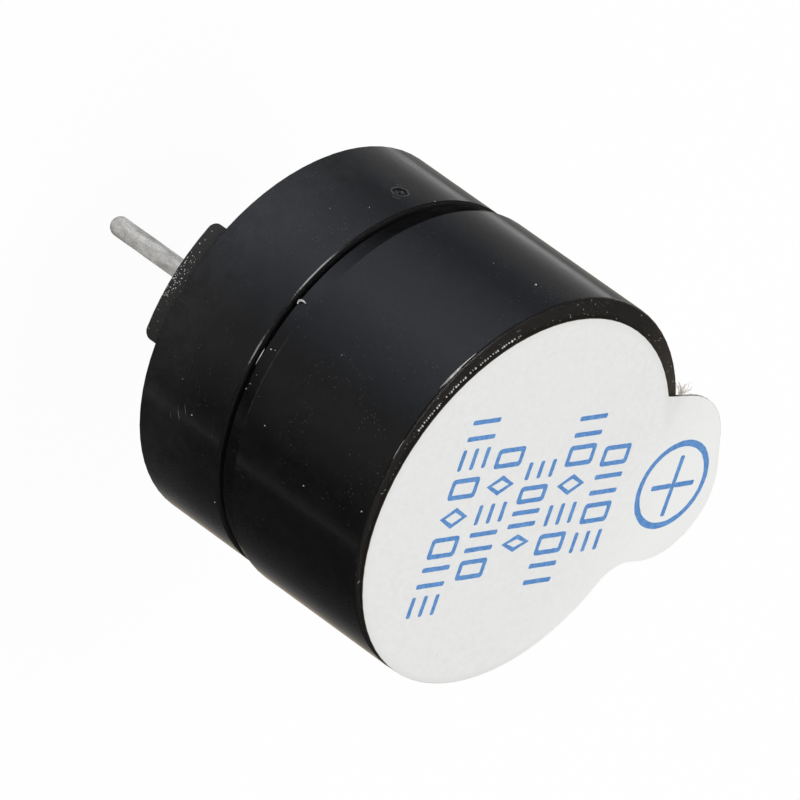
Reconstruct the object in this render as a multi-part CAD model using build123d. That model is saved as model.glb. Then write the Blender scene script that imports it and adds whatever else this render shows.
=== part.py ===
from build123d import *
import os
from math import cos, radians, sin

# Through-hole active buzzer, 12 mm across, with its wash label on.
# Frame: +Z out of the label face, origin at the middle of the seating plane, pins in line along X.
# All lengths are in millimetres and all angles in degrees.

# Housing
FRONT_DIA = 12.0
FRONT_WALL = 0.75
FRONT_TOP = 0.8
BODY_HEIGHT = 9.6
BEVEL_HEIGHT = 0.6
BEVEL_DEPTH = 0.15
FACE_EDGE_RADIUS = 0.12
SOUND_HOLE_DIA = 2.6
SOUND_HOLE_FLARE = 0.25
CAVITY_STEP = 0.35
BASE_DIA = 11.78
BASE_WALL = 0.79
BASE_HEIGHT = 3.82
BASE_EDGE = 0.07
SEAM_GAP = 0.14
BEVEL_EDGE = 0.05
SPIGOT_CLEARANCE = 0.05
SPIGOT_WALL = 0.5
STANDOFF_HEIGHT = 0.55
STANDOFF_INSET = 0.17
STANDOFF_SPAN = 38.0
STANDOFF_END = 0.25

# Moulding mark on the side of the base
MARK_DIA = 0.5
MARK_DEPTH = 0.05
MARK_ANGLE = 118.6
MARK_HEIGHT = 2.97

# Label
LABEL_DIA = 11.45
LABEL_THICKNESS = 0.1
LABEL_OFFSET_X = 0.1
LABEL_OFFSET_Y = -0.28
TAB_TURN = 16.5
TAB_WIDTH = 5.27
TAB_SHIFT = 0.21
TAB_REACH = 8.42
TAB_SKEW = 0.47
TAB_CORNER = 2.09
UPPER_NOTCH = 0.12
LOWER_NOTCH = 1.2

# Magnetic system
LEDGE_HEIGHT = 1.3
LEDGE_WIDTH = 0.45
POCKET_CLEARANCE = 0.05
YOKE_THICKNESS = 0.8
YOKE_CLEARANCE = 0.05
CORE_DIA = 2.2
CORE_GAP = 0.3
RIVET_DIA = 1.6
MAGNET_WALL = 1.2
MAGNET_HEIGHT = 2.3
MAGNET_CLEARANCE = 0.05
WINDING_DIA = 5.4
WINDING_BORE_GAP = 0.05
DRIVE_HEIGHT = 1.3
FEEDBACK_HEIGHT = 0.7
WINDING_EDGE = 0.15
LEAD_DIA = 0.12
LEAD_LEAN = 0.2
LEAD_SLOT_DIA = 0.8
LEAD_ENTRY = 0.3
DRIVE_LEAD_ANGLES = (60, 240)
FEEDBACK_LEAD_ANGLES = (120, 300)

# Diaphragm
SPIGOT_TOP = 6.9
DIAPHRAGM_THICKNESS = 0.1
DIAPHRAGM_CLEARANCE = 0.1
ARMATURE_DIA = 4.4
ARMATURE_THICKNESS = 0.3

# Board and pins
BOARD_THICKNESS = 0.6
BOARD_CLEARANCE = 0.05
RESIN_RECESS = 0.12
RESIN_THICKNESS = 0.85
PIN_DIA = 0.6
PIN_PITCH = 7.6
POSITIVE_LENGTH = 5.5
NEGATIVE_LENGTH = 4.0
PIN_TOP = 0.35
PIN_TIP = 0.12
PAD_THICKNESS = 0.04
PAD_DIA = 1.1
LEAD_PAD_SIZE = 0.6
SOLDER_HEIGHT = 0.25
SOLDER_RIM = 0.04

# Transistor and resistor on the board
CHIP_LENGTH = 2.9
CHIP_WIDTH = 1.3
CHIP_HEIGHT = 0.75
CHIP_STANDOFF = 0.1
CHIP_Y = 0.55
CHIP_LEAD_WIDTH = 0.4
CHIP_LEAD_THICKNESS = 0.12
CHIP_LEAD_REACH = 0.5
CHIP_LEAD_PITCH = 0.95
RESISTOR_LENGTH = 1.6
RESISTOR_WIDTH = 0.8
RESISTOR_HEIGHT = 0.45
RESISTOR_END = 0.3
RESISTOR_Y = -2.0

# Places that follow from the sizes above
FRONT_R = FRONT_DIA / 2
FRONT_BORE_R = FRONT_R - FRONT_WALL
FRONT_BOTTOM = BASE_HEIGHT + SEAM_GAP
BASE_R = BASE_DIA / 2
BASE_BORE_R = BASE_R - BASE_WALL
SPIGOT_R = FRONT_BORE_R - SPIGOT_CLEARANCE
SPIGOT_BORE_R = SPIGOT_R - SPIGOT_WALL
LEDGE_R = SPIGOT_BORE_R - LEDGE_WIDTH

RESIN_BOTTOM = STANDOFF_HEIGHT + RESIN_RECESS
BOARD_BOTTOM = RESIN_BOTTOM + RESIN_THICKNESS
BOARD_TOP = BOARD_BOTTOM + BOARD_THICKNESS
PAD_TOP = BOARD_TOP + PAD_THICKNESS
LEDGE_TOP = BOARD_TOP + LEDGE_HEIGHT
YOKE_TOP = LEDGE_TOP + YOKE_THICKNESS
YOKE_R = SPIGOT_BORE_R - YOKE_CLEARANCE
MAGNET_R = SPIGOT_BORE_R - MAGNET_CLEARANCE
DIAPHRAGM_TOP = SPIGOT_TOP + DIAPHRAGM_THICKNESS
DIAPHRAGM_R = FRONT_BORE_R - DIAPHRAGM_CLEARANCE
STEP_HEIGHT = DIAPHRAGM_TOP + DIAPHRAGM_CLEARANCE
CORE_TOP = SPIGOT_TOP - CORE_GAP
MAGNET_BORE_R = MAGNET_R - MAGNET_WALL
LEAD_RADIUS = WINDING_DIA / 2 + LEAD_LEAN
DRIVE_BOTTOM = YOKE_TOP + FEEDBACK_HEIGHT
LEAD_ANGLES = DRIVE_LEAD_ANGLES + FEEDBACK_LEAD_ANGLES
CHIP_PAD_Y = CHIP_WIDTH / 2 + CHIP_LEAD_REACH / 2
CHIP_PAD_SIZE = CHIP_LEAD_REACH + CHIP_LEAD_THICKNESS


def polar(radius, angle):
    return radius * cos(radians(angle)), radius * sin(radians(angle))


def disc(radius, bottom, height):
    return Pos(0, 0, bottom) * Cylinder(radius, height, align=(Align.CENTER, Align.CENTER, Align.MIN))


def ring(outer, inner, bottom, height):
    return disc(outer, bottom, height) - disc(inner, bottom, height)


def block(x, y, bottom, length, width, height):
    return Pos(x, y, bottom) * Box(length, width, height, align=(Align.CENTER, Align.CENTER, Align.MIN))


def turned(points):
    """A solid of revolution about Z, from its half section as (radius, height) points."""
    return revolve(make_face(Plane.XZ * Polyline(*points, close=True)), Axis.Z)


def edges_at(solid, radius, height):
    """The full circles of one radius that lie at one height."""
    return [edge for edge in solid.edges().filter_by(GeomType.CIRCLE)
            if abs(edge.radius - radius) < 0.001 and abs(edge.center().Z - height) < 0.001]


def pin_places():
    return (PIN_PITCH / 2, POSITIVE_LENGTH), (-PIN_PITCH / 2, NEGATIVE_LENGTH)


# The cap: a long back bevel, a rounded face edge, a step that clears the diaphragm and the sound hole.
def front_housing():
    cavity_r = FRONT_BORE_R - CAVITY_STEP
    cavity_top = BODY_HEIGHT - FRONT_TOP
    hole_r = SOUND_HOLE_DIA / 2
    rear_r = FRONT_R - BEVEL_DEPTH
    shell = turned([
        (FRONT_BORE_R, FRONT_BOTTOM), (rear_r - BEVEL_EDGE, FRONT_BOTTOM), (rear_r, FRONT_BOTTOM + BEVEL_EDGE),
        (FRONT_R, FRONT_BOTTOM + BEVEL_HEIGHT), (FRONT_R, BODY_HEIGHT),
        (hole_r + SOUND_HOLE_FLARE, BODY_HEIGHT), (hole_r, BODY_HEIGHT - SOUND_HOLE_FLARE),
        (hole_r, cavity_top), (cavity_r, cavity_top), (cavity_r, STEP_HEIGHT), (FRONT_BORE_R, STEP_HEIGHT),
    ])
    return fillet(edges_at(shell, FRONT_R, BODY_HEIGHT), FACE_EDGE_RADIUS)


# One pad under the rim, a short arc whose two round faces are set in from the rim's.
def standoff(angle):
    pad = ring(BASE_R - STANDOFF_INSET, BASE_BORE_R + STANDOFF_INSET, 0, STANDOFF_HEIGHT)
    reach = 2 * BASE_R
    half = STANDOFF_SPAN / 2
    wedge = make_face(Polyline((0, 0), polar(reach, -half), polar(reach, half), close=True))
    pad = pad & extrude(wedge, STANDOFF_HEIGHT)
    pad = fillet(pad.edges().group_by(Axis.Z)[0].filter_by(GeomType.LINE), STANDOFF_END)
    return Rot(0, 0, angle) * pad


# A pocket in the ledge that clears one pin's top and its solder.
def pin_pocket(x):
    height = PAD_THICKNESS + PIN_TOP + POCKET_CLEARANCE
    return Pos(x, 0, 0) * disc(PAD_DIA / 2 + POCKET_CLEARANCE, BOARD_TOP, height)


# The cup: a bore for the board and resin, a ledge between board and yoke, and the spigot inside the cap.
def base_housing():
    cup = turned([
        (BASE_BORE_R, STANDOFF_HEIGHT), (BASE_R - BASE_EDGE, STANDOFF_HEIGHT),
        (BASE_R, STANDOFF_HEIGHT + BASE_EDGE), (BASE_R, BASE_HEIGHT - BASE_EDGE),
        (BASE_R - BASE_EDGE, BASE_HEIGHT), (SPIGOT_R, BASE_HEIGHT), (SPIGOT_R, SPIGOT_TOP),
        (SPIGOT_BORE_R, SPIGOT_TOP), (SPIGOT_BORE_R, LEDGE_TOP), (LEDGE_R, LEDGE_TOP),
        (LEDGE_R, BOARD_TOP), (BASE_BORE_R, BOARD_TOP),
    ])
    cup += standoff(0) + standoff(180)
    for x, _ in pin_places():
        cup -= pin_pocket(x)
    mark = Plane(origin=(*polar(BASE_R, MARK_ANGLE), MARK_HEIGHT), z_dir=(*polar(1, MARK_ANGLE), 0))
    return cup - mark * Cylinder(MARK_DIA / 2, 2 * MARK_DEPTH)


# The tab: two straight sides and two round corners, the upper one set back, so that its end leans.
def tab_outline():
    top = TAB_SHIFT + TAB_WIDTH / 2
    bottom = TAB_SHIFT - TAB_WIDTH / 2
    upper = Vector(TAB_REACH - TAB_SKEW - TAB_CORNER, top - TAB_CORNER)
    lower = Vector(TAB_REACH - TAB_CORNER, bottom + TAB_CORNER)
    out = Vector(upper.Y - lower.Y, lower.X - upper.X).normalized() * TAB_CORNER
    tab = make_face(Polyline((0, top), (upper.X, top), upper, lower, (lower.X, bottom), (0, bottom), close=True))
    tab += make_face(Polyline(upper, upper + out, lower + out, lower, close=True))
    for corner in (upper, lower):
        tab += Pos(corner.X, corner.Y) * Circle(TAB_CORNER)
    return Rot(0, 0, TAB_TURN) * tab


# The label: a round sheet with its tab. The notch on the tab's upper side is sharp and the lower one is wide.
def seal_label():
    centre = Vector(LABEL_OFFSET_X, LABEL_OFFSET_Y)
    outline = Pos(centre.X, centre.Y) * Circle(LABEL_DIA / 2) + tab_outline()
    notches = [v for v in outline.vertices()
               if abs((Vector(v.X, v.Y) - centre).length - LABEL_DIA / 2) < 0.001]
    low, high = sorted(notches, key=lambda v: v.Y)
    outline = fillet(low, LOWER_NOTCH)
    high = min(outline.vertices(), key=lambda v: (Vector(v.X, v.Y) - Vector(high.X, high.Y)).length)
    outline = fillet(high, UPPER_NOTCH)
    return Pos(0, 0, BODY_HEIGHT) * extrude(outline, LABEL_THICKNESS)


def yoke_plate():
    plate = disc(YOKE_R, LEDGE_TOP, YOKE_THICKNESS) - disc(RIVET_DIA / 2, LEDGE_TOP, YOKE_THICKNESS)
    for angle in LEAD_ANGLES:
        plate -= Pos(*polar(LEAD_RADIUS, angle), 0) * disc(LEAD_SLOT_DIA / 2, LEDGE_TOP, YOKE_THICKNESS)
    return plate


def iron_core():
    return disc(RIVET_DIA / 2, LEDGE_TOP, YOKE_THICKNESS) + disc(CORE_DIA / 2, YOKE_TOP, CORE_TOP - YOKE_TOP)


def ring_magnet():
    return ring(MAGNET_R, MAGNET_BORE_R, YOKE_TOP, MAGNET_HEIGHT)


def winding(bottom, height):
    bore_r = CORE_DIA / 2 + WINDING_BORE_GAP
    coil = ring(WINDING_DIA / 2, bore_r, bottom, height)
    return chamfer(edges_at(coil, WINDING_DIA / 2, bottom + height), WINDING_EDGE)


# An enamelled end: from its solder it leans through a hole in the yoke until it lies on the winding's side.
def coil_lead(angle, winding_bottom):
    foot = Vector(LEAD_RADIUS, 0, PAD_TOP)
    entry = Vector(WINDING_DIA / 2, 0, winding_bottom + LEAD_ENTRY)
    lean = entry - foot
    wire = extrude(Plane(origin=foot, z_dir=lean) * Circle(LEAD_DIA / 2), lean.length)
    wire -= Pos(LEAD_RADIUS, 0, 0) * disc(LEAD_PAD_SIZE / 2, BOARD_TOP, PAD_THICKNESS + SOLDER_HEIGHT)
    wire -= disc(WINDING_DIA / 2, YOKE_TOP, FEEDBACK_HEIGHT + DRIVE_HEIGHT)
    return Rot(0, 0, angle) * wire


def coil_leads():
    return Compound([coil_lead(angle, DRIVE_BOTTOM) for angle in DRIVE_LEAD_ANGLES]
                    + [coil_lead(angle, YOKE_TOP) for angle in FEEDBACK_LEAD_ANGLES])


def diaphragm():
    return disc(DIAPHRAGM_R, SPIGOT_TOP, DIAPHRAGM_THICKNESS)


def armature_disc():
    return disc(ARMATURE_DIA / 2, DIAPHRAGM_TOP, ARMATURE_THICKNESS)


def pin_holes(bottom, height):
    return [Pos(x, 0, 0) * disc(PIN_DIA / 2, bottom, height) for x, _ in pin_places()]


def circuit_board():
    board = disc(BASE_BORE_R - BOARD_CLEARANCE, BOARD_BOTTOM, BOARD_THICKNESS)
    for hole in pin_holes(BOARD_BOTTOM, BOARD_THICKNESS):
        board -= hole
    return board


def chip_lead_places():
    """The transistor's three feet: two on one side and one on the other."""
    return ((-CHIP_LEAD_PITCH, CHIP_Y - CHIP_PAD_Y), (CHIP_LEAD_PITCH, CHIP_Y - CHIP_PAD_Y),
            (0, CHIP_Y + CHIP_PAD_Y))


def resistor_end_places():
    return [side * (RESISTOR_LENGTH - RESISTOR_END) / 2 for side in (-1, 1)]


# Copper lands: a ring round each pin and a square land for each coil end and each foot of the chips.
def board_pads():
    pads = [Pos(x, 0, 0) * ring(PAD_DIA / 2, PIN_DIA / 2, BOARD_TOP, PAD_THICKNESS)
            for x, _ in pin_places()]
    pads += [Rot(0, 0, angle) * block(LEAD_RADIUS, 0, BOARD_TOP, LEAD_PAD_SIZE, LEAD_PAD_SIZE, PAD_THICKNESS)
             for angle in LEAD_ANGLES]
    pads += [block(x, y, BOARD_TOP, CHIP_LEAD_WIDTH, CHIP_PAD_SIZE, PAD_THICKNESS)
             for x, y in chip_lead_places()]
    pads += [block(x, RESISTOR_Y, BOARD_TOP, RESISTOR_END, RESISTOR_WIDTH, PAD_THICKNESS)
             for x in resistor_end_places()]
    return Compound(pads)


def transistor_body():
    body = block(0, CHIP_Y, PAD_TOP + CHIP_STANDOFF, CHIP_LENGTH, CHIP_WIDTH, CHIP_HEIGHT)
    return chamfer(body.faces().sort_by(Axis.Z)[-1].edges(), CHIP_STANDOFF)


# Gull-wing leads, each from the body's side down to a flat foot on its land.
def transistor_leads():
    rise = CHIP_STANDOFF + CHIP_HEIGHT / 2
    leads = []
    for x, y in chip_lead_places():
        side = 1 if y > CHIP_Y else -1
        wall_y = CHIP_Y + side * CHIP_WIDTH / 2
        foot = block(x, y + side * CHIP_LEAD_THICKNESS, PAD_TOP, CHIP_LEAD_WIDTH,
                     CHIP_LEAD_REACH - CHIP_LEAD_THICKNESS, CHIP_LEAD_THICKNESS)
        riser = block(x, wall_y + side * 3 * CHIP_LEAD_THICKNESS / 2, PAD_TOP, CHIP_LEAD_WIDTH,
                      CHIP_LEAD_THICKNESS, rise)
        shoulder = block(x, wall_y + side * CHIP_LEAD_THICKNESS, PAD_TOP + rise - CHIP_LEAD_THICKNESS,
                         CHIP_LEAD_WIDTH, 2 * CHIP_LEAD_THICKNESS, CHIP_LEAD_THICKNESS)
        leads.append(foot + riser + shoulder)
    return Compound(leads)


def resistor_body():
    return block(0, RESISTOR_Y, PAD_TOP, RESISTOR_LENGTH - 2 * RESISTOR_END, RESISTOR_WIDTH, RESISTOR_HEIGHT)


def resistor_ends():
    return Compound([block(x, RESISTOR_Y, PAD_TOP, RESISTOR_END, RESISTOR_WIDTH, RESISTOR_HEIGHT)
                     for x in resistor_end_places()])


# A straight tinned wire with a bevelled tip. Its free end, below the seating plane, has a wall of its own.
def pin(x, length):
    radius, top = PIN_DIA / 2, PAD_TOP + PIN_TOP
    section = Polyline((0, -length), (radius, -length), (radius, 0), (radius, top), (0, top), close=True)
    wire = revolve(make_face(Plane.XZ * section), Axis.Z, clean=False)
    return Pos(x, 0, 0) * chamfer(edges_at(wire, radius, -length), PIN_TIP)


def positive_pin():
    return pin(*pin_places()[0])


def negative_pin():
    return pin(*pin_places()[1])


# A cone of solder on a land, a little wider at its top than the wire it holds.
def solder_cone(foot_r, wire_r):
    return Pos(0, 0, PAD_TOP) * Cone(foot_r, wire_r + SOLDER_RIM, SOLDER_HEIGHT,
                                     align=(Align.CENTER, Align.CENTER, Align.MIN))


def pin_solder():
    joint = solder_cone(PAD_DIA / 2, PIN_DIA / 2) - disc(PIN_DIA / 2, PAD_TOP, SOLDER_HEIGHT)
    return Compound([Pos(x, 0, 0) * joint for x, _ in pin_places()])


def lead_solder():
    joint = solder_cone(LEAD_PAD_SIZE / 2, LEAD_DIA / 2)
    return Compound([Pos(*polar(LEAD_RADIUS, angle), 0) * joint for angle in LEAD_ANGLES])


def potting_resin():
    resin = disc(BASE_BORE_R, RESIN_BOTTOM, RESIN_THICKNESS)
    for hole in pin_holes(RESIN_BOTTOM, RESIN_THICKNESS):
        resin -= hole
    return resin


NODES = {
    "seal_label": seal_label(),
    "front_housing": front_housing(),
    "base_housing": base_housing(),
    "diaphragm": diaphragm(),
    "armature_disc": armature_disc(),
    "ring_magnet": ring_magnet(),
    "yoke_plate": yoke_plate(),
    "iron_core": iron_core(),
    "drive_winding": winding(DRIVE_BOTTOM, DRIVE_HEIGHT),
    "feedback_winding": winding(YOKE_TOP, FEEDBACK_HEIGHT),
    "coil_leads": coil_leads(),
    "circuit_board": circuit_board(),
    "board_pads": board_pads(),
    "transistor_body": transistor_body(),
    "transistor_leads": transistor_leads(),
    "resistor_body": resistor_body(),
    "resistor_ends": resistor_ends(),
    "positive_pin": positive_pin(),
    "negative_pin": negative_pin(),
    "pin_solder": pin_solder(),
    "lead_solder": lead_solder(),
    "potting_resin": potting_resin(),
}

os.makedirs("parts", exist_ok=True)
for name, solid in NODES.items():
    export_step(solid, f"parts/{name}.step")
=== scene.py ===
import math
import random

import bmesh
import bpy
from mathutils import Matrix, Vector, noise


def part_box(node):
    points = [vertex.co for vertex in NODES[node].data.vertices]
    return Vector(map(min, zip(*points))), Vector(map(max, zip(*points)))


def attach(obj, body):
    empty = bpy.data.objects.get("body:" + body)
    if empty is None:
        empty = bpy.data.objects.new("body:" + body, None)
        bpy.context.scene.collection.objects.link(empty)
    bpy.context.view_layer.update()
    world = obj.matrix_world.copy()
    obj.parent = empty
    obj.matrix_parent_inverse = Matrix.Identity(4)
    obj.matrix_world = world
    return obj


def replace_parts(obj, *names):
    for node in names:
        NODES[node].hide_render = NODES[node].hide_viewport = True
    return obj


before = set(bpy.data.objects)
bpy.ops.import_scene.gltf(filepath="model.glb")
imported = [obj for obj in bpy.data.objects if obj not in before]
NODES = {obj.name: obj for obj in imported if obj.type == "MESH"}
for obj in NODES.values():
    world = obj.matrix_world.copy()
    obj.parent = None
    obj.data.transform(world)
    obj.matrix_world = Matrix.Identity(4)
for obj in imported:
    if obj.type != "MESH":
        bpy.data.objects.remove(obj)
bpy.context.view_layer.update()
MM = 0.001
SEED = 41
rng = random.Random(SEED)
# vector noise is offset by the clock unless it is seeded
noise.seed_set(SEED)

# The solids' main lengths and heights, in millimetres
CAP_RADIUS = 6.0
BASE_RADIUS = 5.89
SEAM_HEIGHT = 3.9
BEVEL_TOP = 4.51
BEVEL_HEIGHT = 0.6
BEVEL_DEPTH = 0.15
FACE_HEIGHT = 9.6
FACE_EDGE_RADIUS = 0.12
FACE_EDGE_START = 9.48
FACE_EDGE_HUB = 5.88
LABEL_TOP = 9.696
LABEL_CENTRE = (0.1, -0.28, 0)
FLOOR_HEIGHT = -5.5

# The label's film and print
INK_HEIGHT = 0.004
INK_DEPTH = 0.002
HUB = Vector((1.0, 0.1))
HOLE_RADIUS = 1.3
DIP_DEPTH = 0.0022
LABEL_SINK = 0.0035
WAVE_DEPTH = 0.003
FINE_DEPTH = 0.0006
MARK_CENTRE = Vector((6.24, 1.87))
RING_OUTER = 1.415
RING_INNER = 1.228
RING_SWELL = 0.015
RING_SWELL_TURN = math.radians(87)
STROKE_WIDTH = 0.16
STROKE_GAP = 0.085
ROW_TURN = math.radians(21)
ROW_LINE = 0.15
ROW_TALL = 1.12

# Where the side's gloss gives way to the face's texture, by height
FACE_TEXTURE = (9.50, 9.585)


# Node helpers

class Graph:
    """A node tree and short ways to add and join its nodes. A value is a number or (node, socket)."""

    def __init__(self, tree):
        self.tree = tree
        tree.nodes.clear()

    def new(self, kind):
        return self.tree.nodes.new("ShaderNode" + kind)

    def feed(self, node, socket, value):
        if isinstance(value, tuple) and len(value) == 2 and hasattr(value[0], "outputs"):
            self.tree.links.new(value[0].outputs[value[1]], node.inputs[socket])
        else:
            node.inputs[socket].default_value = value

    def math(self, operation, a, b=0.0):
        node = self.new("Math")
        node.operation = operation
        self.feed(node, 0, a)
        self.feed(node, 1, b)
        return node, "Value"

    def times(self, first, *others):
        for other in others:
            first = self.math("MULTIPLY", first, other)
        return first

    def plus(self, first, *others):
        for other in others:
            first = self.math("ADD", first, other)
        return first

    def math_vector(self, operation, a, b):
        node = self.new("VectorMath")
        node.operation = operation
        self.feed(node, 0, a)
        self.feed(node, "Scale" if operation == "SCALE" else 1, b)
        return node, "Value" if operation in ("LENGTH", "DISTANCE", "DOT_PRODUCT") else "Vector"

    def split(self, vector):
        node = self.new("SeparateXYZ")
        self.feed(node, 0, vector)
        return [(node, axis) for axis in "XYZ"]

    def span(self, value, low, high, to_low=0.0, to_high=1.0):
        """value's way from low to high, eased at both ends, as to_low to to_high."""
        node = self.new("MapRange")
        node.interpolation_type = "SMOOTHSTEP"
        self.feed(node, 0, value)
        for i, number in enumerate((low, high, to_low, to_high)):
            node.inputs[i + 1].default_value = number
        return node, "Result"

    def ramp(self, value, stops):
        """stops are (place, grey) or (place, colour) pairs."""
        node = self.new("ValToRGB")
        elements = node.color_ramp.elements
        while len(elements) < len(stops):
            elements.new(0.5)
        for element, (place, colour) in zip(elements, stops):
            element.position = place
            grey = isinstance(colour, (int, float))
            element.color = (colour, colour, colour, 1) if grey else (*colour, 1)
        self.feed(node, 0, value)
        return node, "Color"

    def mix(self, share, a, b):
        node = self.new("Mix")
        node.data_type = "RGBA"
        self.feed(node, 0, share)
        for index, value in ((6, a), (7, b)):
            if isinstance(value, tuple) and len(value) == 3:
                value = (*value, 1)
            self.feed(node, index, value)
        return node, "Result"

    def mix_number(self, share, a, b):
        node = self.new("Mix")
        self.feed(node, 0, share)
        self.feed(node, 2, a)
        self.feed(node, 3, b)
        return node, 0

    def shader(self, kind, colour):
        node = self.new(kind)
        self.feed(node, "Color", colour)
        return node, 0

    def mix_shader(self, share, a, b):
        node = self.new("MixShader")
        for index, value in enumerate((share, a, b)):
            self.feed(node, index, value)
        return node, 0

    def end(self, kind, surface):
        self.feed(self.new(kind), "Surface", surface)


class Mat(Graph):
    """A material with one principled shader. place is the point on the object in millimetres."""

    def __init__(self, name):
        self.mat = bpy.data.materials.new(name)
        self.mat.use_nodes = True
        super().__init__(self.mat.node_tree)
        self.bsdf = self.new("BsdfPrincipled")
        self.end("OutputMaterial", (self.bsdf, "BSDF"))
        self.place = self.math_vector("SCALE", (self.new("TexCoord"), "Object"), 1 / MM)

    def set(self, **values):
        for key, value in values.items():
            self.feed(self.bsdf, key.replace("_", " "), value)
        return self

    def stretch(self, scale, turn=(0, 0, 0), move=(0, 0, 0)):
        node = self.new("Mapping")
        self.feed(node, "Vector", self.place)
        node.inputs["Scale"].default_value = scale
        node.inputs["Rotation"].default_value = turn
        node.inputs["Location"].default_value = move
        return node, "Vector"

    def shift(self, *move):
        return self.stretch((1, 1, 1), move=move)

    def noise(self, scale, detail=3.0, rough=0.5, source=None):
        node = self.new("TexNoise")
        self.feed(node, "Vector", source or self.place)
        node.inputs["Scale"].default_value = scale
        node.inputs["Detail"].default_value = detail
        node.inputs["Roughness"].default_value = rough
        return node, "Fac"

    def cells(self, scale, source=None):
        node = self.new("TexVoronoi")
        self.feed(node, "Vector", source or self.place)
        node.inputs["Scale"].default_value = scale
        return node, "Distance"

    def bump(self, height, strength, distance_mm, under=None):
        node = self.new("Bump")
        node.inputs["Strength"].default_value = strength
        node.inputs["Distance"].default_value = distance_mm * MM
        self.feed(node, "Height", height)
        if under:
            self.feed(node, "Normal", under)
        return node, "Normal"


# Materials

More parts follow.
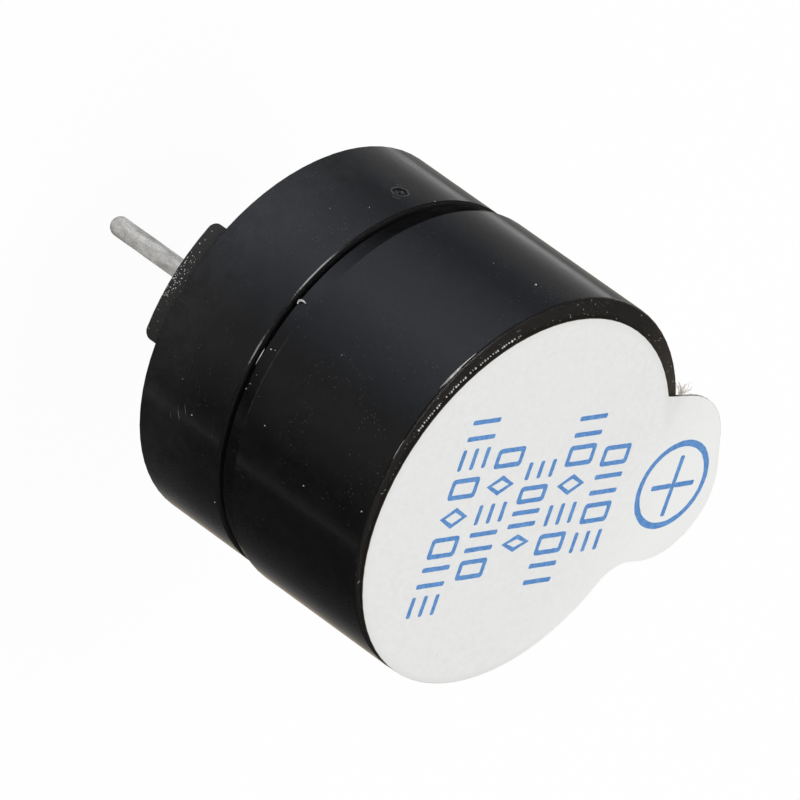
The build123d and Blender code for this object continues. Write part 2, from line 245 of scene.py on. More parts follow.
def housing_plastic(name, base):
    """Glossy black moulding. The face round the label is spark-textured and matt."""
    m = Mat(name)
    x, y, z = m.split(m.place)
    # mottled gloss from the mould's polish, with long faint draw lines along Z
    mottle = m.noise(1.1, 4, 0.55)
    fine = m.noise(14, 2, 0.5)
    draw = m.noise(1.0, 2, 0.6, m.stretch((9, 9, 0.35)))
    roughness = m.plus(m.span(mottle, 0.3, 0.7, 0.11, 0.15), m.times(draw, 0.04))
    colour = m.mix(m.span(mottle, 0.35, 0.7), (0.0040, 0.0040, 0.0042), (0.0058, 0.0057, 0.0060))
    if base:
        # handling has left the base a thin grey haze that grows towards the pins
        blotch = m.span(m.noise(1.7, 4, 0.65), 0.30, 0.68, 0.45, 1.0)
        haze = m.times(m.span(z, 3.4, 0.8, 0.25, 1.0), blotch)
        colour = m.mix(haze, colour, (0.0195, 0.0195, 0.0205))
        roughness = m.plus(roughness, m.times(haze, 0.05))
        # only the outer half of the front edge is polished enough to glint
        roughness = m.mix_number(m.span(z, 3.778, 3.788), roughness, 1.0)
    else:
        blotch = m.span(m.noise(2.3, 4, 0.7), 0.45, 0.75, 0, 0.5)
        colour = m.mix(blotch, colour, (0.0098, 0.0098, 0.0102))
        # painted highlight: a pale glint line on the crease where the side turns into the bevel, beside the
        # shorter pin
        glint_crease = m.times(m.span(z, 4.46, 4.505), m.span(z, 4.55, 4.505))
        reach = m.times(m.span(y, -2.4, -1.5), m.span(y, 0.9, -0.1), m.span(x, -5.0, -5.4))
        uneven = m.span(m.noise(5, 3, 0.6), 0.35, 0.65, 0.35, 1.0)
        colour = m.mix(m.times(glint_crease, reach, uneven, 0.7), colour, (0.060, 0.060, 0.062))
    # a film of the finest dust, in drifts
    film = m.cells(10.0, m.shift(1.7, 5.2, 8.8))
    picked = m.math("GREATER_THAN", m.split((film[0], "Color"))[1], 0.62)
    drift = m.span(m.noise(0.8, 3, 0.6, m.shift(4, 4, 4)), 0.44, 0.66)
    film = m.times(picked, m.span(film, 0.30, 0.12), drift)
    colour = m.mix(m.times(film, 0.9), colour, (0.048, 0.048, 0.048))
    # fine dust: few grains, brighter and rough
    grain = m.cells(2.6, m.shift(3.1, 7.7, 1.3))
    lone = m.noise(0.9, 2, 0.6, m.shift(9, 2, 5))
    dust = m.times(m.span(grain, 0.028, 0.05, 1, 0), m.span(lone, 0.52, 0.62))
    colour = m.mix(m.times(dust, 0.3), colour, (0.30, 0.29, 0.27))
    roughness = m.mix_number(dust, roughness, 0.8)
    # hair scratches that run at a small angle to the axis
    hair = m.noise(1.0, 1.5, 0.5, m.stretch((26, 26, 0.8), turn=(0.35, 0.12, 0)))
    patch = m.span(m.noise(0.5, 1, 0.5), 0.52, 0.66)
    hair = m.times(m.span(hair, 0.70, 0.735), patch)
    roughness = m.mix_number(m.times(hair, 0.5), roughness, 0.5)
    height = m.plus(m.times(mottle, 0.8), m.times(draw, 0.35), m.times(fine, 0.05))
    normal = m.bump(height, 0.12, 0.05)
    # the base's rim by the pins, or the cap's face, is dull and speckled
    spark = m.noise(30, 3, 0.7)
    texture = m.plus(m.times(spark, 0.6), m.times(m.cells(19), 0.7))
    if base:
        low = m.span(z, 0.50, 0.62, 1, 0)
        tint = m.times(low, m.span(spark, 0.3, 0.7, 0.45, 1.0))
        colour = m.mix(tint, colour, (0.034, 0.033, 0.030))
    else:
        radius = m.math_vector("LENGTH", m.math_vector("MULTIPLY", m.place, (1, 1, 0)), (0, 0, 0))
        low = m.times(m.span(z, *FACE_TEXTURE), m.span(radius, 5.85, 5.95, 1, 0.85))
        tint = m.times(low, m.span(x, 0.5, 4.5, 0.25, 1.0), m.span(spark, 0.3, 0.7, 0.5, 1.0))
        colour = m.mix(tint, colour, (0.058, 0.047, 0.036))
    roughness = m.mix_number(low, roughness, m.span(spark, 0.35, 0.7, 0.34, 0.62))
    # pale grains lodged in the texture, each a chosen cell: partly dust, partly painted sparkle glints of
    # the textured finish
    cells = m.cells(11.0 if base else 8.5, m.shift(2.3, 0.4, 1.1))
    chosen = m.split((cells[0], "Color"))[0]
    sparse, thick = (0.82, 0.45) if base else (0.97, 0.80)
    crowd = m.span(m.noise(0.55, 2, 0.5, m.shift(6.1, 2.2, 0.3)), 0.40, 0.62, sparse, thick)
    grains = m.times(m.math("GREATER_THAN", chosen, crowd), m.span(cells, 0.26, 0.14))
    if base:
        grains = m.times(grains, m.span(x, -4.4, -5.3), m.span(z, 0.60, 0.10))
    else:
        grains = m.times(grains, m.span(z, *FACE_TEXTURE))
    colour = m.mix(m.times(grains, 0.9 if base else 0.45), colour, (0.42, 0.42, 0.40))
    roughness = m.mix_number(grains, roughness, 0.7)
    normal = m.bump(m.times(texture, low), 0.45, 0.02, normal)
    return m.set(Base_Color=colour, Roughness=roughness, Normal=normal, IOR=1.5).mat


def label_stock():
    """Pale satin film: faint fibre, painted shade at the cut edge and on its side, soft dents."""
    m = Mat("label_film")
    x, _, z = m.split(m.place)
    centre = m.math_vector("DISTANCE", m.math_vector("MULTIPLY", m.place, (1, 1, 0)), LABEL_CENTRE)
    fibre = m.noise(5.5, 5, 0.62)
    cloud = m.noise(0.35, 2, 0.5)
    colour = m.mix(m.span(fibre, 0.3, 0.7), (0.835, 0.84, 0.83), (0.885, 0.89, 0.88))
    colour = m.mix(m.span(cloud, 0.35, 0.65, 0, 0.35), colour, (0.85, 0.852, 0.84))
    # painted light: the sheet is lighter towards the tab
    colour = m.mix(m.span(x, 3.0, 7.0, 0.0, 0.8), colour, (0.93, 0.935, 0.915))
    # painted shade: the round cut edge is darkened
    edge_shade = m.times(m.span(centre, 5.45, 5.73), m.span(x, 4.2, 4.9, 1, 0))
    colour = m.mix(m.times(edge_shade, m.span(fibre, 0.3, 0.7, 0.05, 0.30)), colour, (0.60, 0.59, 0.55))
    # the cut edge is rolled over a little and shows as a thin shade all round
    rim = m.span(z, 9.6875, 9.6830)
    colour = m.mix(m.times(rim, m.span(fibre, 0.3, 0.7, 0.65, 1.0)), colour, (0.34, 0.31, 0.25))
    # painted shade: the sheet's side, where it lies on the moulding, is darkened near black
    side = m.span(z, 9.680, 9.674)
    colour = m.mix(m.times(side, m.span(x, 4.15, 4.4, 1, 0.3)), colour, (0.030, 0.026, 0.022))
    speck = m.times(m.span(m.cells(2.1), 0.03, 0.055, 1, 0), m.span(m.noise(1.3), 0.56, 0.62))
    colour = m.mix(m.times(speck, 0.45), colour, (0.30, 0.28, 0.25))
    normal = m.bump(m.plus(m.times(fibre, 0.5), m.noise(40, 2, 0.6)), 0.18, 0.01)
    roughness = m.span(cloud, 0.3, 0.7, 0.42, 0.55)
    return m.set(Base_Color=colour, Roughness=roughness, Normal=normal, IOR=1.46).mat


def label_ink():
    """Screened blue ink, thin and a little uneven at its edges."""
    m = Mat("label_ink")
    wear = m.noise(9, 4, 0.65)
    fine = m.noise(38, 2, 0.6)
    colour = m.mix(m.span(wear, 0.3, 0.72), (0.075, 0.235, 0.58), (0.155, 0.36, 0.70))
    colour = m.mix(m.span(fine, 0.60, 0.72, 0, 0.35), colour, (0.42, 0.56, 0.74))
    roughness = m.span(wear, 0.3, 0.7, 0.38, 0.56)
    return m.set(Base_Color=colour, Roughness=roughness, Normal=m.bump(fine, 0.15, 0.006)).mat


def metal(name, light, dark, rough, streak, spots=0.0, bump=0.12, metallic=1.0):
    """Metal with drawn streaks, cloudy tarnish and a few darker spots."""
    m = Mat(name)
    lines = m.noise(1.6, 4, 0.6, m.stretch(streak))
    cloud = m.noise(1.4, 3, 0.6)
    tone = m.plus(m.times(lines, 0.6), m.times(cloud, 0.4))
    colour = m.mix(m.span(tone, 0.36, 0.62), dark, light)
    if spots:
        spot = m.span(m.noise(3.2, 3, 0.7), 0.60, 0.68, 0, spots)
        colour = m.mix(spot, colour, tuple(c * 0.35 for c in dark))
    roughness = m.span(tone, 0.35, 0.65, rough + 0.12, rough)
    normal = m.bump(m.plus(lines, m.times(m.noise(22, 2), 0.4)), bump, 0.03)
    return m.set(Base_Color=colour, Metallic=metallic, Roughness=roughness, Normal=normal).mat


def mineral(name, light, dark, rough, scale=9.0, coat=0.0, bump=0.25, depth=0.02):
    """Ceramic, resin or moulded epoxy: mottled colour, fine pits."""
    m = Mat(name)
    cloud = m.noise(scale * 0.25, 4, 0.6)
    pits = m.cells(scale)
    grain = m.noise(scale * 2.2, 3, 0.65)
    colour = m.mix(m.span(m.plus(m.times(cloud, 0.6), m.times(grain, 0.4)), 0.36, 0.64), dark, light)
    height = m.plus(m.span(pits, 0.02, 0.2), m.times(grain, 0.5))
    roughness = m.span(grain, 0.3, 0.7, rough - 0.05, rough + 0.12)
    m.set(Base_Color=colour, Roughness=roughness, Normal=m.bump(height, bump, depth), Coat_Weight=coat)
    return m.mat


def winding_wire():
    """Layers of enamelled wire: a fine rib for each turn."""
    m = Mat("winding_wire")
    turns_per_mm = 16.0
    turn = m.math("FRACT", m.times(m.split(m.place)[2], turns_per_mm))
    rib = m.times(turn, m.math("SUBTRACT", 1.0, turn))
    cloud = m.noise(2.4, 3, 0.6)
    colour = m.mix(m.span(cloud, 0.35, 0.65), (0.32, 0.10, 0.03), (0.55, 0.22, 0.08))
    colour = m.mix(m.span(rib, 0.02, 0.12, 0.7, 0), colour, (0.07, 0.02, 0.01))
    return m.set(Base_Color=colour, Metallic=0.75, Roughness=m.span(cloud, 0.3, 0.7, 0.25, 0.4),
                 Normal=m.bump(rib, 0.8, 0.06)).mat


def laminate():
    """Green coated board with the woven glass just showing."""
    m = Mat("laminate")
    x, y, _ = m.split(m.place)
    thread = 13.0
    weave = m.times(m.math("SINE", m.times(x, thread)), m.math("SINE", m.times(y, thread)))
    cloud = m.noise(0.9, 4, 0.6)
    colour = m.mix(m.span(weave, -0.6, 0.6), (0.012, 0.075, 0.028), (0.02, 0.11, 0.042))
    colour = m.mix(m.span(cloud, 0.4, 0.7, 0, 0.4), colour, (0.03, 0.13, 0.05))
    return m.set(Base_Color=colour, Roughness=m.span(cloud, 0.3, 0.7, 0.28, 0.42),
                 Normal=m.bump(weave, 0.25, 0.015)).mat


def fluff(name, colour, pale):
    """Rough pale stuff: fibres, dust, scuffs and painted glints."""
    m = Mat(name)
    mixed = m.mix(m.span(m.noise(4.0, 3, 0.6), 0.35, 0.65), colour, pale)
    return m.set(Base_Color=mixed, Roughness=0.85, Normal=m.bump(m.noise(30, 2), 0.3, 0.01)).mat


MATERIALS = {
    "front_housing": housing_plastic("front_plastic", False),
    "base_housing": housing_plastic("base_plastic", True),
    "diaphragm": metal("spring_steel", (0.62, 0.62, 0.63), (0.42, 0.42, 0.43), 0.22, (0.6, 11, 6)),
    "ring_magnet": mineral("magnet_ferrite", (0.055, 0.055, 0.06), (0.022, 0.022, 0.024), 0.6, 7.0),
    "drive_winding": winding_wire(),
    "circuit_board": laminate(),
    "board_pads": metal("copper_land", (0.80, 0.42, 0.24), (0.50, 0.22, 0.11), 0.3, (3, 3, 3), 0.4),
    "transistor_body": mineral("chip_epoxy", (0.028, 0.028, 0.029), (0.012, 0.012, 0.013), 0.45, 22.0),
    "resistor_body": mineral("chip_ceramic", (0.76, 0.76, 0.73), (0.60, 0.60, 0.58), 0.5, 26.0),
    "negative_pin": metal("tinned_wire", (1.0, 0.985, 0.95), (0.62, 0.60, 0.55), 0.20, (3.6, 3.6, 0.9),
                          0.4, 0.9, 0.34),
    "pin_solder": metal("solder", (0.70, 0.70, 0.69), (0.48, 0.48, 0.47), 0.18, (3, 3, 3), 0.15, 0.3),
    "yoke_plate": metal("soft_iron", (0.50, 0.49, 0.47), (0.28, 0.27, 0.26), 0.34, (0.7, 9, 7), 0.3),
    "potting_resin": mineral("resin_black", (0.016, 0.016, 0.017), (0.007, 0.007, 0.008), 0.16, 2.6,
                             0.3, 0.5, 0.05),
}
SAME = {
    "armature_disc": "yoke_plate", "iron_core": "yoke_plate", "feedback_winding": "drive_winding",
    "coil_leads": "drive_winding", "transistor_leads": "negative_pin", "resistor_ends": "negative_pin",
    "positive_pin": "negative_pin", "lead_solder": "pin_solder",
}
for node_name, obj in NODES.items():
    if node_name == "seal_label":
        continue
    finish = MATERIALS[SAME.get(node_name, node_name)]
    obj.data.materials.clear()
    obj.data.materials.append(finish)


# The label and its print

FILM = label_stock()
INK = label_ink()


def ray(angle, length=1.0):
    """A flat vector at an angle in radians."""
    return Vector((math.cos(angle), math.sin(angle))) * length


def add_mesh(name, verts, faces, material, smooth=False):
    """A new piece from points in millimetres, riding with the body."""
    mesh = bpy.data.meshes.new(name)
    mesh.from_pydata([Vector(v) * MM for v in verts], [], faces)
    mesh.validate()
    obj = bpy.data.objects.new(name, mesh)
    bpy.context.scene.collection.objects.link(obj)
    mesh.materials.append(material)
    for polygon in mesh.polygons:
        polygon.use_smooth = smooth
    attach(obj, "root")
    return obj


def label_outline():
    """The outline of the solid label, read from its top face, with its long runs divided."""
    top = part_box("seal_label")[1].z - 0.01 * MM
    solid = NODES["seal_label"].data.vertices
    corners = {(round(v.co.x / MM, 6), round(v.co.y / MM, 6)) for v in solid if v.co.z > top}
    corners = [Vector(c) for c in corners if (Vector(c) - HUB).length > 2.0]
    corners.sort(key=lambda c: math.atan2(c.y - HUB.y, c.x - HUB.x))
    points = []
    for a, b in zip(corners, corners[1:] + corners[:1]):
        steps = max(1, round((b - a).length / 0.3))
        points += [a + (b - a) * i / steps for i in range(steps)]
    return points


def label_height(x, y):
    """Top of the film: slow waves a few microns deep and a shallow dip over the sound hole."""
    wave = noise.noise(Vector((x * 0.33, y * 0.33, 4.2)))
    fine = noise.noise(Vector((x * 1.1, y * 1.1, 9.1)))
    hole = math.hypot(x, y) / HOLE_RADIUS
    dip = DIP_DEPTH * max(0.0, 1 - hole * hole) ** 2
    return LABEL_TOP - LABEL_SINK + WAVE_DEPTH * wave + FINE_DEPTH * fine - dip


def label_sheet():
    """The sheet as rings of points from its outline in to its hub, with a flat back."""
    outline = label_outline()
    count = len(outline)
    rings = [1.0, 0.997, 0.985, 0.95, 0.88, 0.78, 0.66, 0.54, 0.42, 0.30, 0.18, 0.07]
    # the cut edge is rolled over
    drop = {0: 0.010, 1: 0.0035}
    verts = [(p.x, p.y, FACE_HEIGHT) for p in outline]
    for index, share in enumerate(rings):
        for p in outline:
            q = HUB + (p - HUB) * share
            verts.append((q.x, q.y, label_height(q.x, q.y) - drop.get(index, 0.0)))
    verts.append((HUB.x, HUB.y, label_height(HUB.x, HUB.y)))
    faces = []
    for level in range(len(rings)):
        low = level * count
        for i in range(count):
            j = (i + 1) % count
            faces.append((low + i, low + j, low + count + j, low + count + i))
    last = len(rings) * count
    faces += [(last + i, last + (i + 1) % count, len(verts) - 1) for i in range(count)]
    faces.append(tuple(reversed(range(count))))
    return add_mesh("label_sheet", verts, faces, FILM)


def prism(outline, out_verts, out_faces, inner=None):
    """A thin patch of ink with the outline as its edge, or a band between two outlines."""
    base = len(out_verts)
    count = len(outline)
    loops = [outline] + ([inner] if inner else [])
    for loop in loops:
        for p in loop:
            z = label_height(p.x, p.y)
            out_verts.append((p.x, p.y, z + INK_HEIGHT))
            out_verts.append((p.x, p.y, z - INK_DEPTH))
    for i in range(count):
        j = (i + 1) % count
        a, b = base + 2 * i, base + 2 * j
        out_faces.append((a + 1, b + 1, b, a))
        if inner:
            c, d = a + 2 * count, b + 2 * count
            out_faces.append((c, d, d + 1, c + 1))
            out_faces.append((a, b, d, c))
            out_faces.append((c + 1, d + 1, b + 1, a + 1))
    if not inner:
        out_faces.append(tuple(base + 2 * i for i in range(count)))
        out_faces.append(tuple(base + 2 * i + 1 for i in reversed(range(count))))


def ragged(points, amount):
    """The same outline with the small unevenness of a printed edge."""
    result = []
    for p in points:
        shift = noise.noise_vector(Vector((p.x * 6.0, p.y * 6.0, 2.0)))
        result.append(p + Vector((shift.x, shift.y)) * amount)
    return result


def rounded_bar(centre, direction, length, width, corner):
    """A rounded rectangle with its long side along direction. Its count of points is always the same."""
    side = Vector((-direction.y, direction.x))
    base = math.atan2(direction.y, direction.x)
    points = []
    for sx, sy, start in ((1, 1, 0), (-1, 1, 90), (-1, -1, 180), (1, -1, 270)):
        hub = centre + direction * sx * (length / 2 - corner) + side * sy * (width / 2 - corner)
        points.append([hub + ray(base + math.radians(start + 22.5 * k), corner) for k in range(5)])
    dense = []
    for corner_points, following in zip(points, points[1:] + points[:1]):
        a, b = corner_points[-1], following[0]
        dense += corner_points + [a + (b - a) * i / 8 for i in range(1, 8)]
    return dense


def diamond(centre, up, across, height, width):
    """A diamond with eight points to each side."""
    tips = [centre + up * height / 2, centre - across * width / 2, centre - up * height / 2,
            centre + across * width / 2]
    return [a + (b - a) * i / 8 for a, b in zip(tips, tips[1:] + tips[:1]) for i in range(8)]


def label_print():
    """The polarity mark in its ring on the tab, and five rows of plain shapes."""
    verts, faces = [], []
    turns = [2 * math.pi * i / 96 for i in range(96)]
    # the ring's line swells on two opposite sides
    inner_radii = [RING_INNER - RING_SWELL * math.cos(2 * (t - RING_SWELL_TURN)) for t in turns]
    outer = ragged([MARK_CENTRE + ray(t, RING_OUTER) for t in turns], 0.012)
    inner = ragged([MARK_CENTRE + ray(t, r) for t, r in zip(turns, inner_radii)], 0.012)
    prism(outer, verts, faces, inner)

    def stroke(a, b, along):
        bar = rounded_bar((a + b) / 2, along, (b - a).length, STROKE_WIDTH, 0.05)
        prism(ragged(bar, 0.008), verts, faces)

    # the second stroke of the plus is in two halves, so that it never overlaps the first
    first_a, first_b = Vector((5.98, 2.75)), Vector((6.66, 0.93))
    second_a, second_b = Vector((5.48, 1.54)), Vector((7.11, 2.19))
    middle = (first_a + first_b) / 2
    along = (second_b - second_a).normalized()
    stroke(first_a, first_b, (first_b - first_a).normalized())
    stroke(second_a, middle - along * STROKE_GAP, along)
    stroke(middle + along * STROKE_GAP, second_b, along)

    def lay(outline, inner=None):
        prism(ragged(outline, 0.009), verts, faces, inner and ragged(inner, 0.009))

    # five rows across the label, stacked towards the tab: height, start, end and kinds of shape,
    # where b is a frame, f two bars along the stack, = three bars across it and d a diamond
    stack = ray(ROW_TURN)
    run = Vector((stack.y, -stack.x))
    rows = ((3.57, -1.24, 2.41, "bfb="), (2.05, -2.35, 3.25, "fbd=bf"), (0.53, -1.05, 2.05, "=bfd"),
            (-0.98, -1.65, 2.75, "bd=fb"), (-2.5, -2.72, 3.77, "f=bdbf="))
    for height, start, end, kinds in rows:
        pitch = (end - start) / len(kinds)
        for i, kind in enumerate(kinds):
            width = pitch * 0.72
            where = stack * height + run * (start + pitch * (i + 0.5))
            if kind == "b":
                lay(rounded_bar(where, stack, ROW_TALL, width, 0.12),
                    rounded_bar(where, stack, ROW_TALL - 2 * ROW_LINE, width - 2 * ROW_LINE, 0.05))
            elif kind == "f":
                for lane in (-1, 1):
                    centre = where + run * lane * (width - ROW_LINE) / 2
                    lay(rounded_bar(centre, stack, ROW_TALL, ROW_LINE, 0.05))
            elif kind == "=":
                for lane in (-1, 0, 1):
                    centre = where + stack * lane * (ROW_TALL - ROW_LINE) / 2
                    lay(rounded_bar(centre, run, width, ROW_LINE, 0.05))
            else:
                lay(diamond(where, stack, run, ROW_TALL, width),
                    diamond(where, stack, run, ROW_TALL - 0.42, width - 0.30))
    return add_mesh("label_print", verts, faces, INK)


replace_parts(label_sheet(), "seal_label")
label_print()


# Fibres, dust, scuffs and painted glints

def tube(points, radii, sides, verts, faces):
    """A thin closed tube along points, with a radius at each."""
    base = len(verts)
    previous = Vector((0.3, 0.5, 0.8)).normalized()
    for index, p in enumerate(points):
        ahead = points[min(index + 1, len(points) - 1)] - points[max(index - 1, 0)]
        ahead.normalize()
        side = ahead.cross(previous).normalized()
        up = side.cross(ahead).normalized()
        previous = up
        for k in range(sides):
            angle = 2 * math.pi * k / sides
            verts.append(p + (side * math.cos(angle) + up * math.sin(angle)) * radii[index])
    for index in range(len(points) - 1):
        for k in range(sides):
            a = base + index * sides + k
            b = base + index * sides + (k + 1) % sides
            faces.append((a, b, b + sides, a + sides))
    faces.append(tuple(base + k for k in reversed(range(sides))))
    last = base + (len(points) - 1) * sides
    faces.append(tuple(last + k for k in range(sides)))


def fibre_points(start, heading, length, bend, steps=14):
    """Points along a fibre that sets off along heading and wanders."""
    points = [start.copy()]
    direction = heading.normalized()
    seed = rng.random() * 50
    for i in range(steps):
        turn = noise.noise_vector(Vector((seed + i * 0.35, seed, 1.0)))
        direction = (direction + turn * bend).normalized()
        points.append(points[-1] + direction * length / steps)
    return points


def notch_tuft():
    """Loose fibres drawn out of the cut where the tab leaves the round sheet."""
    verts, faces = [], []
    root = Vector((4.25, 4.26, 9.63))
    highest = 9.68
    for _ in range(22):
        start = root + Vector((rng.uniform(-0.06, 0.20), rng.uniform(-0.06, 0.08), rng.uniform(-0.05, 0.03)))
        heading = Vector((rng.uniform(0.0, 0.7), rng.uniform(0.4, 1.0), rng.uniform(-0.4, 0.15)))
        points = fibre_points(start, heading, rng.uniform(0.20, 0.50), 0.5)
        points = [Vector((p.x, p.y, min(p.z, highest))) for p in points]
        radius = rng.uniform(0.008, 0.013)
        radii = [radius * (1 - 0.6 * k / len(points)) for k in range(len(points))]
        tube(points, radii, 5, verts, faces)
    material = fluff("fibre_pale", (0.52, 0.47, 0.40), (0.84, 0.80, 0.72))
    return add_mesh("notch_fibres", verts, faces, material, smooth=True)


def on_wall(angle, z, lift=0.0):
    """A point on the housing's side, lift above it. The angle is in degrees."""
    out = ray(math.radians(angle)).to_3d()
    if z < SEAM_HEIGHT:
        radius = BASE_RADIUS
    elif z > FACE_EDGE_START:
        rise = z - FACE_EDGE_START
        radius = FACE_EDGE_HUB + math.sqrt(max(0.0, FACE_EDGE_RADIUS ** 2 - rise ** 2))
    else:
        radius = CAP_RADIUS - BEVEL_DEPTH * max(0.0, (BEVEL_TOP - z) / BEVEL_HEIGHT)
    return out * (radius + lift) + Vector((0, 0, z))


def grain(centre, size, seed, verts, faces, detail=2):
    """A rough round grain."""
    base = len(verts)
    blob = bmesh.new()
    bmesh.ops.create_icosphere(blob, subdivisions=detail, radius=size)
    for v in blob.verts:
        rough = 1 + 0.45 * noise.noise(v.co * 40 + seed)
        verts.append(centre + v.co * rough)
    faces += [tuple(base + v.index for v in f.verts) for f in blob.faces]
    blob.free()


def wall_stroke(angle, z, turn, rise, bulge, radius, verts, faces, lift=0.6):
    """A thin curved stroke lying on the side: turn round it and rise along Z from end to end, in mm."""
    points, radii = [], []
    for i in range(19):
        t = i / 18 - 0.5
        arch = bulge * (1 - 4 * t * t)
        where = angle + math.degrees((turn * t + arch * turn) / CAP_RADIUS)
        points.append(on_wall(where, z + rise * t - arch * abs(rise), radius * lift))
        radii.append(radius * (0.25 + 0.75 * math.cos(math.pi * t)))
    tube(points, radii, 6, verts, faces)


def side_lint():
    """A pale lint on the bevel and dust grains on the side."""
    verts, faces = [], []
    grains = ((119.2, 8.49, 0.024), (-153.8, 7.12, 0.018), (-157.8, 9.30, 0.018), (-161.6, 5.2, 0.016),
              (-150.4, 2.56, 0.020), (-166.6, 4.06, 0.018), (-168.4, 4.12, 0.012), (171.0, 6.3, 0.010),
              (180.6, 4.21, 0.019), (180.1, 4.38, 0.013), (139.0, 2.4, 0.010), (112.5, 3.75, 0.014),
              (-171.5, 4.2, 0.010), (131.0, 3.1, 0.010), (122.0, 7.1, 0.010), (-158.0, 1.9, 0.010),
              (-127.1, 3.66, 0.018))
    for angle, z, size in grains:
        grain(on_wall(angle, z, size * 0.35), size, Vector((angle, z, 0)), verts, faces)
    wall_stroke(166.1, 4.17, -0.14, 0.25, 0.45, 0.038, verts, faces)
    material = fluff("dust_pale", (0.50, 0.49, 0.46), (0.80, 0.79, 0.76))
    return add_mesh("side_dust", verts, faces, material, smooth=True)


def base_scuffs():
    """Faint fine scratches on the base: thin raised hairs of the same plastic, a little paler."""
    verts, faces = [], []
    strokes = ((-148.3, 2.08, 0.42, 0.16, 0.007), (-150.5, 2.30, 0.30, 0.14, 0.006),
               (-146.2, 1.80, 0.22, 0.05, 0.005))
    for angle, z, turn, rise, radius in strokes:
        wall_stroke(angle, z, turn, rise, 0.05, radius, verts, faces)
    material = fluff("scuff_grey", (0.10, 0.10, 0.10), (0.22, 0.22, 0.215))
    return add_mesh("base_scuffs", verts, faces, material, smooth=True)


def edge_glints():
    """Painted glints along the cap's edges: the rounded face edge and the rear edge."""
    verts, faces = [], []
    strokes = ((156.4, 9.500, -1.40, 0.03, 0.019), (158.6, 9.525, -0.70, 0.01, 0.013),
               (182.4, 9.54, -0.62, 0.0, 0.006), (184.0, 3.972, -0.52, 0.0, 0.012),
               (183.2, 3.985, -0.30, 0.0, 0.008))
    for angle, z, turn, rise, radius in strokes:
        wall_stroke(angle, z, turn, rise, 0.0, radius, verts, faces, 0.15 if z > 9 else 0.0)
    material = fluff("glint_pale", (0.46, 0.45, 0.43), (0.72, 0.71, 0.68))
    return add_mesh("edge_glints", verts, faces, material, smooth=True)


def rim_dust_and_glints():
    """Pale grains along the label's edge, thick over one stretch and rare elsewhere: partly dust caught in
    the gutter, partly painted glints of the textured face.
    """
    verts, faces = [], []
    outline = label_outline()

    def edge_radius(angle):
        aim = ray(math.radians(angle))
        nearest = max(outline, key=lambda p: p.normalized().dot(aim))
        return nearest.length

    def put(angle, out, height, size, seed):
        centre = ray(math.radians(angle), out).to_3d() + Vector((0, 0, height))
        grain(centre, size, Vector((angle, seed, 0)), verts, faces, 1)

    angle, stretch_end = 134.0, 176.0
    while angle < stretch_end:
        crowd = 0.5 + 0.5 * noise.noise(Vector((angle * 0.22, 3.0, 7.0)))
        if rng.random() < 0.62 + 0.5 * crowd:
            size = rng.uniform(0.022, 0.042) * (0.70 + 0.4 * crowd)
            out = edge_radius(angle) + 0.120 + rng.uniform(-0.014, 0.016) + max(0.0, angle - 165) * 0.004
            put(angle, out, FACE_HEIGHT + size * 0.4, size, 1)
        angle += rng.uniform(0.62, 1.10)
    for _ in range(46):
        angle = rng.uniform(60.0, 250.0)
        size = rng.uniform(0.006, 0.013)
        gap = 5.86 - edge_radius(angle) - 0.05
        if gap < 0.05:
            continue
        out = edge_radius(angle) + 0.05 + gap * rng.random() ** 1.6
        put(angle, out, FACE_HEIGHT + size * 0.4, size, 2)
    # the same grains, dust and painted glints, on the foot beside the shorter pin
    for _ in range(54):
        angle = 180 + rng.gauss(-1.0, 5.5)
        height = 0.03 + abs(rng.gauss(0.0, 0.16))
        if abs(angle - 180) > 15 or height > 0.5:
            continue
        size = rng.uniform(0.008, 0.022)
        put(angle, 5.72 + size * 0.3, height, size, 3)
    material = fluff("bead_dust_and_glint", (0.55, 0.55, 0.53), (0.85, 0.85, 0.83))
    return add_mesh("rim_dust_and_glints", verts, faces, material, smooth=True)


def gate_mark():
    """What the mould left in its round recess: an uneven raised ring, strokes beside it and torn knobs."""
    verts, faces = [], []
    angle, height = 118.6, 2.97
    for along, rise, size in ((-0.050, 0.030, 0.075), (0.075, -0.045, 0.060), (0.02, -0.11, 0.035)):
        knob = on_wall(angle + math.degrees(along / BASE_RADIUS), height + rise, -0.055)
        grain(knob, size, Vector((size, 4, 0)), verts, faces)
    # the ring and two strokes outside it: radius, start and end of the turn, thickness
    arcs = ((0.245, 20, 385, 0.034), (0.37, 195, 238, 0.019), (0.38, 12, 50, 0.018))
    for radius, start, end, thick in arcs:
        points, radii = [], []
        sink = -0.022 if radius < 0.3 else -0.004
        for i in range(41):
            turn = math.radians(start + (end - start) * i / 40)
            wobble = noise.noise(Vector((math.cos(turn) * 1.4, math.sin(turn) * 1.4, radius * 9)))
            uneven = radius * (1 + 0.12 * wobble)
            across, along = uneven * math.cos(turn), uneven * math.sin(turn)
            points.append(on_wall(angle + math.degrees(across / BASE_RADIUS), height + along, sink))
            radii.append(thick * (1 + 0.35 * noise.noise(Vector((i * 0.4, radius * 30, 0)))))
        tube(points, radii, 6, verts, faces)
    # painted sheen: the mark's plastic is lighter than the housing, for the light its raised edges catch
    plastic = mineral("gate_sheen_plastic", (0.085, 0.085, 0.088), (0.030, 0.030, 0.032), 0.22)
    return add_mesh("gate_mark", verts, faces, plastic, smooth=True)


notch_tuft()
side_lint()
base_scuffs()
edge_glints()
rim_dust_and_glints()
gate_mark()


# The pins: cut wire with tumbled ends, never quite round

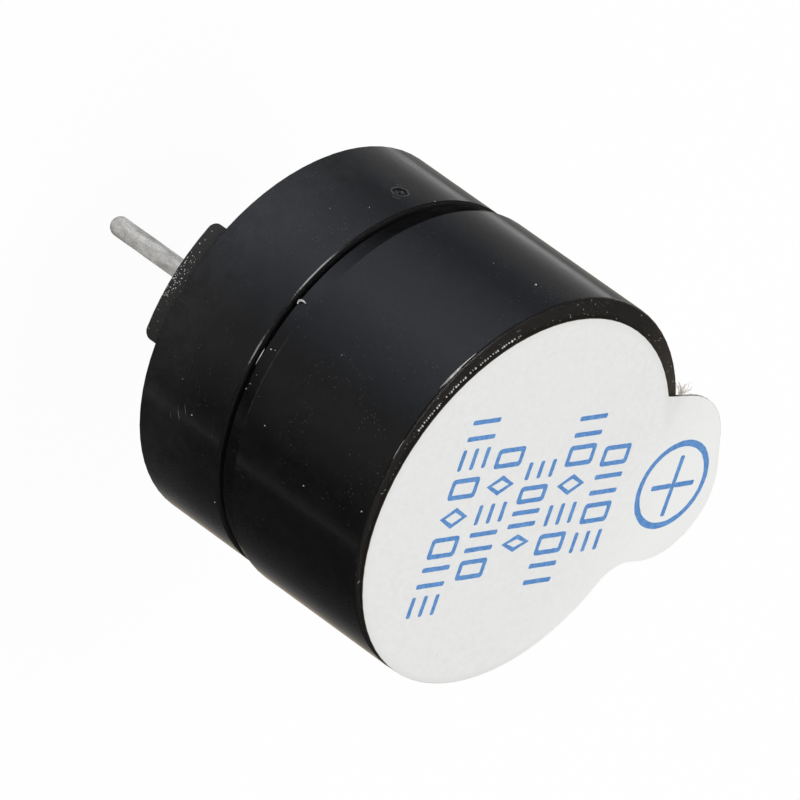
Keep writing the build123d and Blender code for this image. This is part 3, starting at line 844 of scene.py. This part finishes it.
def pin_wire(node, seed):
    """A round wire in the solid pin's place. Above the seating plane it is plain."""
    low, high = (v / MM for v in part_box(node))
    centre = (low + high) / 2
    radius = (high.x - low.x) / 2
    sides, end_rows, side_rows = 32, 9, 40
    # the length of the tumbled end
    end = 0.30
    levels = [end * (1 - math.cos(math.pi / 2 * k / end_rows)) for k in range(1, end_rows + 1)]
    levels += [end + (high.z - low.z - end) * k / side_rows for k in range(1, side_rows + 1)]
    verts = [(centre.x, centre.y, low.z)]
    for rise in levels:
        tip = min(1.0, rise / end)
        full = radius * (1 - (1 - tip) ** 2.3) ** 0.5
        z = low.z + rise
        for k in range(sides):
            aim = ray(2 * math.pi * k / sides)
            dent = noise.noise(Vector((aim.x * 0.8 + seed, aim.y * 0.8, z * 1.3)))
            fine = noise.noise(Vector((aim.x * 2.2, aim.y * 2.2 + seed, z * 4.0)))
            # only below the seating plane is the wire uneven
            shrink = 1 - 0.02 - 0.028 * dent - 0.012 * fine if z < 0 else 0.995
            verts.append((centre.x + aim.x * full * shrink, centre.y + aim.y * full * shrink, z))
    faces = [(0, 1 + (k + 1) % sides, 1 + k) for k in range(sides)]
    for row in range(len(levels) - 1):
        for k in range(sides):
            a, b = 1 + row * sides + k, 1 + row * sides + (k + 1) % sides
            faces.append((a, b, b + sides, a + sides))
    faces.append(tuple(1 + (len(levels) - 1) * sides + k for k in range(sides)))
    return add_mesh(node + "_wire", verts, faces, MATERIALS["negative_pin"], smooth=True)


for pin_node, pin_seed in (("positive_pin", 3.0), ("negative_pin", 8.0)):
    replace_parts(pin_wire(pin_node, pin_seed), pin_node)


# Stage: a pale floor under the pins, soft lamps and a plain pale surround

def stage_material():
    """White to the camera but for the object's faint shadow, and clear from below."""
    mat = bpy.data.materials.new("stage_floor")
    mat.use_nodes = True
    g = Graph(mat.node_tree)
    diffuse = g.shader("BsdfDiffuse", (0.92, 0.92, 0.92, 1))
    glow = g.shader("Emission", (1, 1, 1, 1))
    clear = g.new("BsdfTransparent"), 0
    glow_share = 0.96
    seen = g.mix_shader(g.times((g.new("LightPath"), "Is Camera Ray"), glow_share), diffuse, glow)
    g.end("OutputMaterial", g.mix_shader((g.new("NewGeometry"), "Backfacing"), seen, clear))
    return mat


def add_floor():
    z = FLOOR_HEIGHT * MM
    half = 3.0
    corners = [(-half, -half, z), (half, -half, z), (half, half, z), (-half, half, z)]
    mesh = bpy.data.meshes.new("stage_floor")
    mesh.from_pydata(corners, [], [(0, 1, 2, 3)])
    floor = bpy.data.objects.new("stage_floor", mesh)
    bpy.context.scene.collection.objects.link(floor)
    mesh.materials.append(stage_material())
    floor.visible_glossy = False


def add_world():
    """White to the camera; to reflections a soft room, brightest on the photograph's upper left."""
    world = bpy.data.worlds.new("studio")
    bpy.context.scene.world = world
    world.use_nodes = True
    g = Graph(world.node_tree)
    path = g.new("LightPath")
    aim = g.new("TexCoord"), "Generated"
    x, y, z = g.split(aim)
    turn = g.math("FRACT", g.plus(g.math("DIVIDE", g.math("ARCTAN2", y, x), 2 * math.pi), 1.0))
    # the room round the part, by heading: place in the turn, level and tint
    neutral, cool, warm = (1, 1, 1), (0.95, 1, 1.14), (1.08, 0.96, 0.78)
    stops = ((0.0, 0.32, warm), (0.030, 0.24, neutral), (0.057, 0.16, neutral), (0.064, 0.58, neutral),
             (0.072, 1.02, neutral), (0.082, 0.70, neutral), (0.095, 0.46, neutral), (0.125, 0.32, neutral),
             (0.150, 0.29, neutral), (0.180, 0.26, cool), (0.205, 0.22, cool), (0.225, 0.24, cool),
             (0.260, 0.40, cool), (0.300, 0.62, cool), (0.340, 0.74, cool), (0.370, 0.80, cool),
             (0.400, 0.70, cool), (0.440, 0.52, cool), (0.480, 0.36, cool), (0.510, 0.27, neutral),
             (0.560, 0.26, neutral), (0.600, 0.17, neutral), (0.650, 0.045, neutral), (0.690, 0.07, neutral),
             (0.699, 0.34, neutral), (0.706, 0.05, neutral), (0.790, 0.045, neutral), (0.870, 0.09, neutral),
             (0.908, 0.20, neutral), (0.940, 0.34, warm), (0.963, 0.66, warm), (0.990, 0.32, warm))
    band = g.ramp(turn, [(place, tuple(level * c for c in tint)) for place, level, tint in stops])
    # the room darkens towards the floor, most on the side of the bright wall
    foot = g.ramp(turn, ((0.0, 0.02), (0.19, 0.02), (0.25, 0.45), (0.36, 0.68), (0.62, 0.72), (0.80, 0.3),
                         (0.95, 0.08)))
    walls = g.math_vector("SCALE", band, g.mix_number(g.span(z, -0.572, -0.612), 1.0, foot))

    def window(towards, outer, inner, level):
        """A bright round patch, fading from inner to outer degrees off its middle."""
        facing = g.math_vector("DOT_PRODUCT", aim, Vector(towards).normalized())
        low, high = math.cos(math.radians(outer)), math.cos(math.radians(inner))
        return g.span(facing, low, high, 0.0, level)

    # two small bright windows above glint on the parts' edges, a wide dim one fills the ceiling
    panes = g.plus(window((-0.416, 0.438, 0.797), 10.0, 8.5, 9.0),
                   window((-0.547, -0.174, 0.818), 5.2, 4.0, 7.0))
    ceiling = g.plus(panes, 0.085, window((0.0, 0.2, 1.0), 60.0, 10.0, 0.06))
    room = g.mix(g.span(z, -0.35, 0.10), walls, ceiling)
    reflected = g.shader("Background", room)
    plain = g.shader("Background", (0.55, 0.55, 0.55, 1))
    white = g.shader("Background", (1, 1, 1, 1))
    unseen = g.mix_shader((path, "Is Glossy Ray"), plain, reflected)
    g.end("OutputWorld", g.mix_shader((path, "Is Camera Ray"), unseen, white))


def add_lamp(name, place, size, power):
    data = bpy.data.lights.new(name, "AREA")
    data.shape = "DISK"
    data.size = size
    data.energy = power
    lamp = bpy.data.objects.new(name, data)
    bpy.context.scene.collection.objects.link(lamp)
    lamp.location = Vector(place)
    lamp.rotation_euler = (Vector((0, 0, 0.005)) - Vector(place)).to_track_quat("-Z", "Y").to_euler()
    lamp.visible_glossy = False
    lamp.visible_camera = False


def add_camera():
    """The photograph's camera, placed from the fit of its outlines."""
    distance, lean, turn, roll = 440.976, 0.9806, math.radians(172.98), 2.1921
    aim_height, pan, tilt = 5, 0.0003, 0.0006
    place = Vector((distance * math.sin(lean) * math.cos(turn), distance * math.sin(lean) * math.sin(turn),
                    distance * math.cos(lean) + aim_height))
    ahead = (Vector((0, 0, aim_height)) - place).normalized()
    up = (Vector((0, 0, 1)) - ahead * ahead.z).normalized()
    right = ahead.cross(up)
    sideways = right * math.cos(roll) + up * math.sin(roll)
    upwards = -right * math.sin(roll) + up * math.cos(roll)
    panned = Matrix.Rotation(pan, 3, upwards)
    ahead, sideways = panned @ ahead, panned @ sideways
    tilted = Matrix.Rotation(tilt, 3, sideways)
    ahead, upwards = tilted @ ahead, tilted @ upwards
    data = bpy.data.cameras.new("camera")
    data.sensor_width = 36
    data.lens = 720
    data.clip_start = 0.01
    data.clip_end = 10
    camera = bpy.data.objects.new("camera", data)
    bpy.context.scene.collection.objects.link(camera)
    place *= MM
    camera.matrix_world = Matrix((
        (sideways.x, upwards.x, -ahead.x, place.x),
        (sideways.y, upwards.y, -ahead.y, place.y),
        (sideways.z, upwards.z, -ahead.z, place.z),
        (0, 0, 0, 1),
    ))
    bpy.context.scene.camera = camera


add_floor()
add_world()
add_lamp("key", (-0.10, 0.16, 0.30), 0.22, 0.50)
add_lamp("fill", (0.25, -0.18, 0.28), 0.30, 0.25)
add_camera()
bpy.context.scene.view_settings.view_transform = "Standard"
